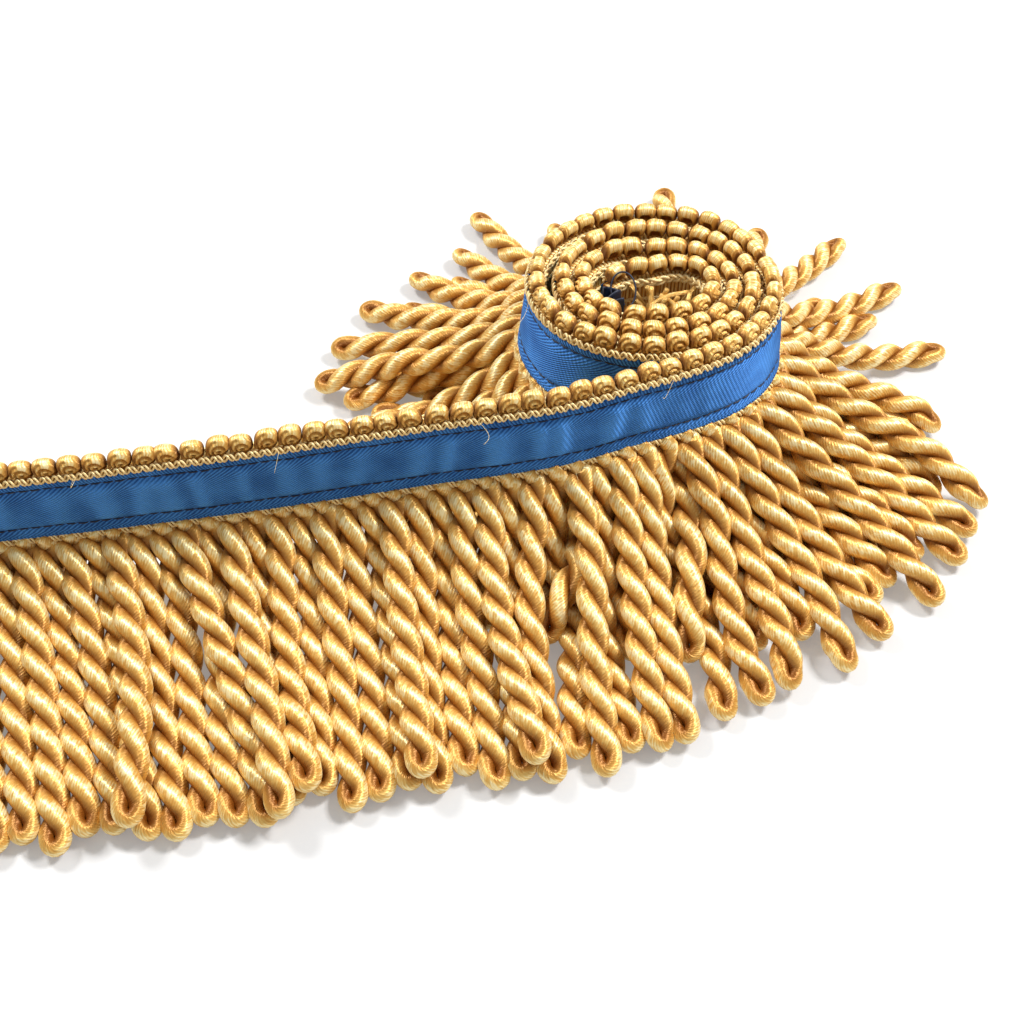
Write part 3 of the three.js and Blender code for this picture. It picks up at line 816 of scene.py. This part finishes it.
def satin_material():
    """Blue satin: twill lines broken into floats by a second wave, and steeper, coarser lines on the
    selvedges outside the stitching. The colour is painted lighter on the pucker ridges and the ridges of the
    lines and darker between them, painted light and shade, and a soft noise makes it lighter and darker in
    patches."""
    material, tree, shader = new_material("ribbon_satin", {
        "Roughness": 0.66, "Metallic": 0.45, "Specular IOR Level": 0.8, "Specular Tint": (0.4, 0.68, 1.0, 1),
    })
    surface = surface_uv(tree)
    up, run = first_two(tree, surface)
    lines = waves(tree, up, run, *SATIN_LINES)
    weave = calculate(tree, "MULTIPLY_ADD", waves(tree, up, run, *SATIN_FLOATS), 0.5, lines)
    border = waves(tree, up, run, *SELVEDGE_LINES)
    half = RIBBON_WIDTH / CM / 2
    edge = calculate(tree, "ABSOLUTE", calculate(tree, "SUBTRACT", up, half))
    on_border = calculate(tree, "GREATER_THAN", edge, half - SELVEDGE_LINES_CM)
    height = blend_colours(tree, on_border, weave, calculate(tree, "MULTIPLY", border, 2.4))
    ridge = blend_colours(tree, on_border, lines, border)
    pucker_light_shade_and_patches = calculate(tree, "MULTIPLY_ADD", value_of(tree, "tone"), 0.8, noise_at(tree, surface, 1.6))
    share = calculate(tree, "MULTIPLY_ADD", ridge, 0.4, calculate(tree, "SUBTRACT", pucker_light_shade_and_patches, 0.1))
    share.node.use_clamp = True
    wire(tree, shader.inputs["Base Color"], blend_colours(tree, share, BLUE_DEEP, BLUE_LIGHT))
    raise_surface(tree, shader, height, 0.04)
    comb_highlight(tree, shader, 1.0, 0.0)
    return material


ribbon_satin = satin_material()
ribbon = piece(satin_ribbon(), "blue_satin", "satin_ribbon")

# %% [markdown]
# The heading is the woven tape behind the ribbon. Its outer face is hidden, and its inner face shows the
# ends of the cord yarns as upright ribs, bound by rows of thin thread. The ribs are real relief: the
# section's inner side swells and draws in with the distance along the trim.

# %% Woven heading
RIB_PITCH = pitch / 5
RIB_DEPTH = 0.32
RINGS_A_CORD = 20
ROOT_STRIP = 1.9
TAPE_BACK = -1.33
TAPE_TOP = 15.2
HEADING_SECTION = [
    [1.2, -ROOT_STRIP, 0.3], [0.0, -ROOT_STRIP, 0.0],
    *([TAPE_BACK, up, -RIB_DEPTH] for up in (-ROOT_STRIP, 0.0, 3.0, 7.5, 12.0, 14.9)),
    [TAPE_BACK, TAPE_TOP, -RIB_DEPTH / 2], [0.0, TAPE_TOP, 0.0], [1.07, TAPE_TOP, 0.0],
    [1.07, 0.3, 0.0], [1.2, -0.1, 0.3],
]


def heading_tape():
    """Closed band: each corner of the section is moved out by relief * sqrt|sin(pi distance / rib)|."""
    side, up, relief = np.array(HEADING_SECTION).T
    steps = cord_count * RINGS_A_CORD
    distance = np.linspace(0, trim_length, steps + 1)[:, None]
    rib = np.sqrt(np.abs(np.sin(np.pi * distance / RIB_PITCH)))
    offset = side + relief * rib
    grid = on_trim(distance, offset, up)[None, :, ::-1]
    around = running_total(np.hypot(np.diff(side), np.diff(up)))
    around = np.concatenate([around, [around[-1] + ROOT_STRIP]])[::-1] / CM
    faces, uvs = tubes(grid, around, distance[None, :, 0] / CM)
    # fold is 1 between the ribs, where the yarn material paints shade.
    fold = np.broadcast_to(1 - rib, offset.shape)[None, :, ::-1]
    return new_mesh("heading", grid.reshape(-1, 3), faces, uvs, heading_yarn, fold=fold, tone=0 * fold)


heading_yarn = yarn("heading_yarn", 3.0, 28.0, 0.05, roughness=0.5)
heading = piece(heading_tape(), "heading_weave", "woven_heading")

# %% [markdown]
# Thin threads hold everything together. Each is a tube whose centre line weaves about the trim by sines
# of the distance: two strands half a turn apart make a twisted row, three of them with one sine at double
# speed a plait, and two a third of a turn apart show as pairs of short strokes, like the small teeth over
# and under the ribbon. The dark sewing thread runs on the ribbon's face and dips in at every stitch.

# %% Binding threads
PLAIT_PITCH = 6.4
PLAIT_HEIGHT = 14.75
PLAIT_SWING = (0.3, 0.75)
TWIST_PITCH = 2.6
TWIST_RADIUS = 0.22
TOOTH_SWING = (0.25, 0.72)
TEETH_APART = 0.7
TOOTH_STEP = pitch / RINGS_A_CORD
STITCH_LENGTH = 2.3
STITCH_LIFT = 0.14
STITCH_PULL = 0.3


def tube_mesh(name, centre, outward, radius, sides, start, material, fold=0.05):
    """One mesh of tubes along centre lines (tubes, rings, 3), each with its own start of the uv."""
    around = np.linspace(0, 1, sides + 1)
    grid = carried(centre, np.broadcast_to(outward, centre.shape), radius, 2 * np.pi * around[:-1])
    faces, uvs = tubes(grid, around, run_length(centre) / CM + start)
    flat = np.zeros(grid.shape[:3])
    return new_mesh(name, grid.reshape(-1, 3), faces, uvs, material, fold=flat + fold, tone=flat)


def threads(name, strands, step, sides, radius, where, material):
    """Tubes along the whole trim. where(distance, turn) gives offset and height of a strand, and turn is
    its share of a full turn."""
    count = int(trim_length / step)
    distance = np.linspace(0.3, trim_length - 0.3, count)[None]
    turn = (np.arange(strands) / strands)[:, None]
    offset, height = where(distance, turn)
    centre = on_trim(np.broadcast_to(distance, offset.shape), offset, height)
    return tube_mesh(name, centre, [0.0, 0.0, 1.0], np.full(centre.shape[:2], radius), sides, turn, material)


def plait(distance, turn):
    """Three strands: height swings once a pitch, and offset twice, so that each passes over the others."""
    phase = 2 * np.pi * (distance / PLAIT_PITCH + turn)
    across, up = PLAIT_SWING
    return -outer_face - across + across * np.sin(2 * phase), PLAIT_HEIGHT + up * np.sin(phase)


def twist_at(height):
    """Two strands turning round each other at one height on the heading's inner face."""
    def where(distance, turn):
        phase = 2 * np.pi * (distance / TWIST_PITCH + turn)
        return -outer_face - 0.1 + TWIST_RADIUS * np.cos(phase), height + TWIST_RADIUS * np.sin(phase)
    return where


def squared(x, power):
    """The same sign as x, with its size raised to a power: below 1 it fills out a round shape."""
    return np.sign(x) * np.abs(x) ** power


def teeth(middle, offset):
    """Two strands that coil about one line, about a third of a turn apart, twice a bead."""
    def where(distance, turn):
        phase = 2 * np.pi * (2 * distance / pitch + TEETH_APART * turn)
        return offset + TOOTH_SWING[0] * np.cos(phase), middle + TOOTH_SWING[1] * np.sin(phase)
    return where


def stitches(line):
    """Sewing thread: on the ribbon's face, pulled into it once a stitch, and not quite straight."""
    def where(distance, turn):
        pulled = np.abs(np.cos(np.pi * distance / STITCH_LENGTH)) ** 6
        wander = 0.12 * np.sin(distance / 3.1) + 0.08 * np.sin(distance / 1.3)
        face = ribbon_face(distance, np.full_like(distance, line))
        return face + STITCH_LIFT - STITCH_PULL * pulled, line + wander
    return where


navy = {"Base Color": (0.004, 0.009, 0.028, 1), "Roughness": 0.5}
sewing_thread = new_material("navy_thread", navy)[0]
thread_yarn = yarn("thread_yarn", 5.0, 30.0, 0.03, light=(0.98, 0.76, 0.36, 1))
low_stitches, high_stitches = (stitches(height) for height in STITCH_HEIGHTS)
thread_rows = [
    ("plait_under_beads", 3, 0.6, 5, 0.36, plait, thread_yarn, "gold_gimp"),
    ("binding_row_1", 2, 0.7, 4, 0.26, twist_at(4.4), thread_yarn, "gold_gimp"),
    ("binding_row_2", 2, 0.7, 4, 0.26, twist_at(10.2), thread_yarn, "gold_gimp"),
    ("teeth_over_ribbon", 2, TOOTH_STEP, 5, 0.25, teeth(15.8, 1.66), thread_yarn, "gold_gimp"),
    ("teeth_under_ribbon", 2, TOOTH_STEP, 5, 0.25, teeth(-0.6, 1.5), thread_yarn, "gold_cord"),
    ("stitching_1", 1, 0.38, 5, 0.17, low_stitches, sewing_thread, "blue_satin"),
    ("stitching_2", 1, 0.38, 5, 0.17, high_stitches, sewing_thread, "blue_satin"),
]
for name, strands, step, sides, radius, where, material, slot in thread_rows:
    piece(threads(name, strands, step, sides, radius, where, material), slot)

# %% [markdown]
# The beaded edge is a thick gimp yarn looped over the top of the heading. From above a loop is a rounded
# block, from inside it is an arch over a hollow in painted shade, and outside its end curls in on itself
# like a shell. One bead is worked out as a rounded block whose faces are pressed in along those lines, and
# all the beads are copies of it, bent round the roll and varied a little in height and lean. Its fold value
# is painted shade in the curls, the opening, under the foot, in the hollow, at the seams between beads and
# low on the inside. The plain numbers in its sum are depths and widths in millimetres, shares and powers.

# %% Beaded edge
BEAD_AROUND = 44
BEAD_ALONG = 30
BEAD_BLOCK = 0.88
BEAD_CROWD = 0.6
BEAD_FULL = 0.68
INNER_CURL = [[1.3, 2.1], [0.9, 2.75], [0.15, 3.0], [-0.6, 2.7], [-0.9, 2.0], [-0.6, 1.35], [0.0, 1.15]]
OUTER_CURL = [[-0.4, 3.75], [-1.2, 3.4], [-1.65, 2.6], [-1.6, 1.7], [-1.15, 0.9]]
CURL_MIDDLE = (0.3, 1.95)


def groove(x, z, curl, width):
    """exp(-(gap / width)^2), where gap is the distance in the face to the nearest point of the curl."""
    line = smooth(curl, np.linspace(0, len(curl) - 1, 50))
    gap = np.hypot(x[..., None] - line[:, 0], z[..., None] - line[:, 1]).min(-1)
    return np.exp(-(gap / width) ** 2)


def bead():
    """Rounded block (around, along) in its own axes: x along the trim, y outwards and z up, in mm.
    Outside, two curls and an opening are pressed in and the foot is drawn back; inside, a hollow.
    The angle a = turn + crowd * cos turn puts most points on the outer face, where the curls are."""
    turn = 2 * np.pi * np.arange(BEAD_AROUND)[:, None] / BEAD_AROUND
    a = turn + BEAD_CROWD * np.cos(turn)
    b = np.pi * (np.arange(BEAD_ALONG) + 0.5)[None] / BEAD_ALONG - np.pi / 2
    half_width, half_height = TRIM_THICKNESS / 2, GIMP_HEIGHT / 2
    full = np.cos(b) ** BEAD_FULL
    x = 0.5 * pitch * squared(np.sin(b), 0.85) + 0 * a
    y = half_width * squared(np.sin(a), BEAD_BLOCK) * full
    z = half_height + half_height * squared(np.cos(a), BEAD_BLOCK) * full
    outside = ramp(np.sin(a) * 1.6) * np.ones_like(x)
    inside = ramp(-np.sin(a) * 1.6) * np.ones_like(x)
    curls = 0.85 * groove(x, z, INNER_CURL, 0.27) + 0.55 * groove(x, z, OUTER_CURL, 0.25)
    across, above = x - CURL_MIDDLE[0], z - CURL_MIDDLE[1]
    opening = np.exp(-((across / 0.52) ** 2 + (above / 0.4) ** 2) ** 2)
    foot = ramp((1.7 - z + 0.25 * x) / 0.7)
    hollow = np.exp(-((x / 1.2) ** 4 + ((z - 1.05) / 1.2) ** 4))
    pressed = outside * (curls + 0.8 * opening + 0.5 * foot) + 1.3 * inside * hollow
    y = y - np.sign(y) * pressed
    seam = ramp((np.abs(x) / (0.5 * pitch) - 0.5) / 0.5)
    slope = inside * ramp((2.9 - z) / 2.2)
    # dark is painted shade: in the curls, the opening, under the foot, in the hollow, at the seams between
    # beads and low on the inside.
    dark = 0.1 + outside * (0.85 * curls + 0.9 * opening + 0.45 * foot) + inside * hollow
    dark = dark + 0.9 * seam + 0.5 * slope
    swirl = (x * (1 - outside) + 1.3 * outside * np.arctan2(across, above)) / CM
    return np.stack([x, y, z], -1), np.clip(dark, 0, 1), swirl


def beaded_edge(name, numbers):
    """The beads of the given numbers in one mesh: each point goes to (distance + x, y, height + z)."""
    shape, fold, swirl = bead()
    k = numbers[:, None, None]
    x, y, z = (shape[None, ..., axis] for axis in range(3))
    tall = 1.07 + 0.22 * swing(k, 21)
    lean = 0.5 * swing(k, 22)
    wide = 1.05 + 0.14 * swing(k, 23)
    distance = (k + 0.5) * pitch - x + lean * (z - 1)
    offset = y * wide + 0.3 * swing(k, 24)
    points = np.swapaxes(on_trim(distance, offset, RIBBON_WIDTH + SEWN_GAP - 0.2 + z * tall), 1, 2)
    number = np.arange(points[..., 0].size).reshape(points.shape[:3])
    after = np.roll(number, -1, axis=2)
    quads = np.stack([number[:, :-1], number[:, 1:], after[:, 1:], after[:, :-1]], -1).reshape(-1, 4)
    faces = [quads, number[:, 0], number[:, -1, ::-1]]
    surface = np.stack([swirl.T + 0 * k, shape[..., 1].T / CM + 0.61 * k], -1).reshape(-1, 2)
    tone = swing(k, 25) * np.ones(points.shape[:3])
    folds = np.broadcast_to(fold.T, points.shape[:3])
    uvs = [surface[f] for f in faces]
    return new_mesh(name, points.reshape(-1, 3), faces, uvs, gimp_yarn, fold=folds, tone=tone)


gimp_yarn = yarn("gimp_yarn", 22.0, 3.0, 0.16, fold=(0.19, 0.06, 0.008, 1))
middle_bead = cord_count // 2
every_bead = np.arange(cord_count)
for name, numbers in (("inner_turns", every_bead[:middle_bead]), ("outer_turn", every_bead[middle_bead:])):
    piece(beaded_edge("beads_of_" + name, numbers), "gold_gimp", "gimp_edge")

# %% [markdown]
# In the middle of the roll lies what the makers left: the end of the ribbon folded on itself, a loop of
# dark sewing thread over it, and untwisted ends of gold yarn. A few stray fibres stand off the trim. All
# of them but the ribbon's end are thin tubes from one chosen place to another, bowed by half a sine.

# %% Loose ends
TAIL_PLAN = [
    [-12.0, -3.6], [-10.6, -1.6], [-8.6, -0.9], [-7.2, -2.0], [-8.4, -3.2], [-9.8, -4.2], [-8.6, -5.4],
    [-6.6, -5.0], [-5.6, -4.0],
]
TAIL_MIDDLE = 36.5
TAIL_HALF = (0.35, 4)
LOOP_RINGS_OF_THREAD = 50
FRAYED_COUNT = 16
FIBRE_COUNT = 14
FIBRE_SPACING = 19


def ribbon_tail():
    """Folded end of the ribbon: a flat rounded section, up = middle + half height * sin a and aside =
    half thickness * cos a with both filled out, carried along a curve in plan that doubles back twice."""
    t = np.linspace(1, len(TAIL_PLAN) - 2, 61)
    plan = smooth(TAIL_PLAN, t)
    ahead = unit(np.gradient(plan, axis=0))
    aside = np.stack([-ahead[:, 1], ahead[:, 0]], 1)
    a = 2 * np.pi * np.arange(16) / 16
    up = TAIL_MIDDLE + TAIL_HALF[1] * squared(np.sin(a), 0.5) + 0.5 * np.sin(2.1 * t)[:, None]
    flat = plan[:, None] + aside[:, None] * (TAIL_HALF[0] * squared(np.cos(a), 0.5))[:, None]
    grid = np.concatenate([flat, up[..., None]], -1)[None]
    faces, uvs = tubes(grid, np.append(up[0], up[0, 0]) / CM, t[None] * 0.2)
    # The folded end wears the near-black thread material, not the blue satin: painted shade for its place
    # deep in the roll.
    return new_mesh("ribbon_tail", grid.reshape(-1, 3), faces, uvs, sewing_thread)


def scatter(count, salt, spread):
    """Repeatable steps up to half the spread each way, one for each number."""
    k = np.arange(count)
    return np.stack([swing(k, salt + axis) * spread[axis] for axis in range(3)], -1)


def bowed(name, start, end, bow, radius, material, fold):
    """Thin tubes: start + (end - start) * t + bow * sin(pi t)."""
    t = np.linspace(0, 1, 18)[None, :, None]
    start, end, bow = start[:, None], end[:, None], bow[:, None]
    centre = start + (end - start) * t + bow * np.sin(np.pi * t)
    radii = np.full(centre.shape[:2], radius)
    return tube_mesh(name, centre, [0.3, 0.4, 1.0], radii, 6, 0.0, material, fold)


def thread_loop():
    """Loop of sewing thread: an ellipse that faces the front, with its ends a little apart."""
    a = np.linspace(-0.4, 1.55, LOOP_RINGS_OF_THREAD)[:, None] * np.pi
    middle, across, up = np.array([[-6.6, -3.0, 41.0], [2.5, 0.0, 0.0], [0.0, 2.6, 2.4]])
    centre = (middle + across * np.cos(a) + up * np.sin(a) + np.array([0.0, 0.8, 0.0]) * a / np.pi)[None]
    radius = np.full(centre.shape[:2], 0.2)
    return tube_mesh("thread_loop", centre, [0.0, -0.7, 0.7], radius, 6, 0.0, sewing_thread)


piece(ribbon_tail(), "blue_satin")
piece(thread_loop(), "blue_satin")
frayed_from = np.array([0.0, -6.0, 31.0]) + scatter(FRAYED_COUNT, 41, (7, 3, 3))
frayed_to = np.array([2.0, -1.0, 38.0]) + scatter(FRAYED_COUNT, 44, (16, 5, 4))
frayed_bow = scatter(FRAYED_COUNT, 47, (6, 3, 5))
frayed = bowed("frayed_yarn", frayed_from, frayed_to, frayed_bow, 0.5, gimp_yarn, 0.28)
piece(frayed, "gold_cord")
fibre_places = trim_length - 12 - FIBRE_SPACING * np.arange(FIBRE_COUNT)
fibre_roots = on_trim(fibre_places, 1.9, np.array([-1.0, 16.0] * (FIBRE_COUNT // 2)))
fibre_ends = fibre_roots + scatter(FIBRE_COUNT, 51, (9, 9, 6)) + np.array([0.0, -2.5, 0.0])
fibre_bow = scatter(FIBRE_COUNT, 54, (4, 4, 4))
fibres = bowed("stray_fibres", fibre_roots, fibre_ends, fibre_bow, 0.035, thread_yarn, 0.0)
piece(fibres, "gold_gimp")

# %% [markdown]
# Floor, light and sky stand in for a photographer's white table: two softboxes high up on the left and the
# right, a little behind the trim, a floor that glows a little, and an even white surround that keeps the
# shadows light.

# %% Studio
FLOOR_HALF = 1500.0
LAMPS = {"left_light": ((-330, 210, 520), 3.1), "right_light": ((370, 80, 520), 4.5)}
LAMP_AIM = (10, 0, 10)
LAMP_SIZE = 150
SURROUND_STRENGTH = 0.48


def softbox(name, place, aim, size, power):
    """Square area light at a place in millimetres that faces another place."""
    light = bpy.data.lights.new(name, "AREA")
    light.size = size * MM
    light.energy = power
    lamp = bpy.data.objects.new(name, light)
    lamp.location = [v * MM for v in place]
    direction = Vector([(b - a) * MM for a, b in zip(place, aim)])
    lamp.rotation_mode = "QUATERNION"
    lamp.rotation_quaternion = direction.to_track_quat("-Z", "Y")
    bpy.context.scene.collection.objects.link(lamp)


def pale_floor():
    """Flat square under the trim that glows a little, like a light table."""
    corners = FLOOR_HALF * np.array([[-1, -1, 0], [1, -1, 0], [1, 1, 0], [-1, 1, 0]]) - shift
    material = new_material("pale_floor", {
        "Base Color": (0.52, 0.52, 0.52, 1), "Roughness": 0.9, "Specular IOR Level": 0.1,
        "Emission Color": (1, 1, 1, 1), "Emission Strength": 0.22,
    })[0]
    floor = new_mesh("floor", corners, [np.array([[0, 1, 2, 3]])], [np.zeros((1, 4, 2))], material)


pale_floor()
for name, (place, power) in LAMPS.items():
    softbox(name, place, LAMP_AIM, LAMP_SIZE, power)
world = bpy.data.worlds.new("surround")
world.use_nodes = True
world.node_tree.nodes["Background"].inputs[0].default_value = (1.0, 1.0, 1.0, 1)
world.node_tree.nodes["Background"].inputs[1].default_value = SURROUND_STRENGTH
bpy.context.scene.world = world
bpy.context.scene.view_settings.view_transform = "Standard"
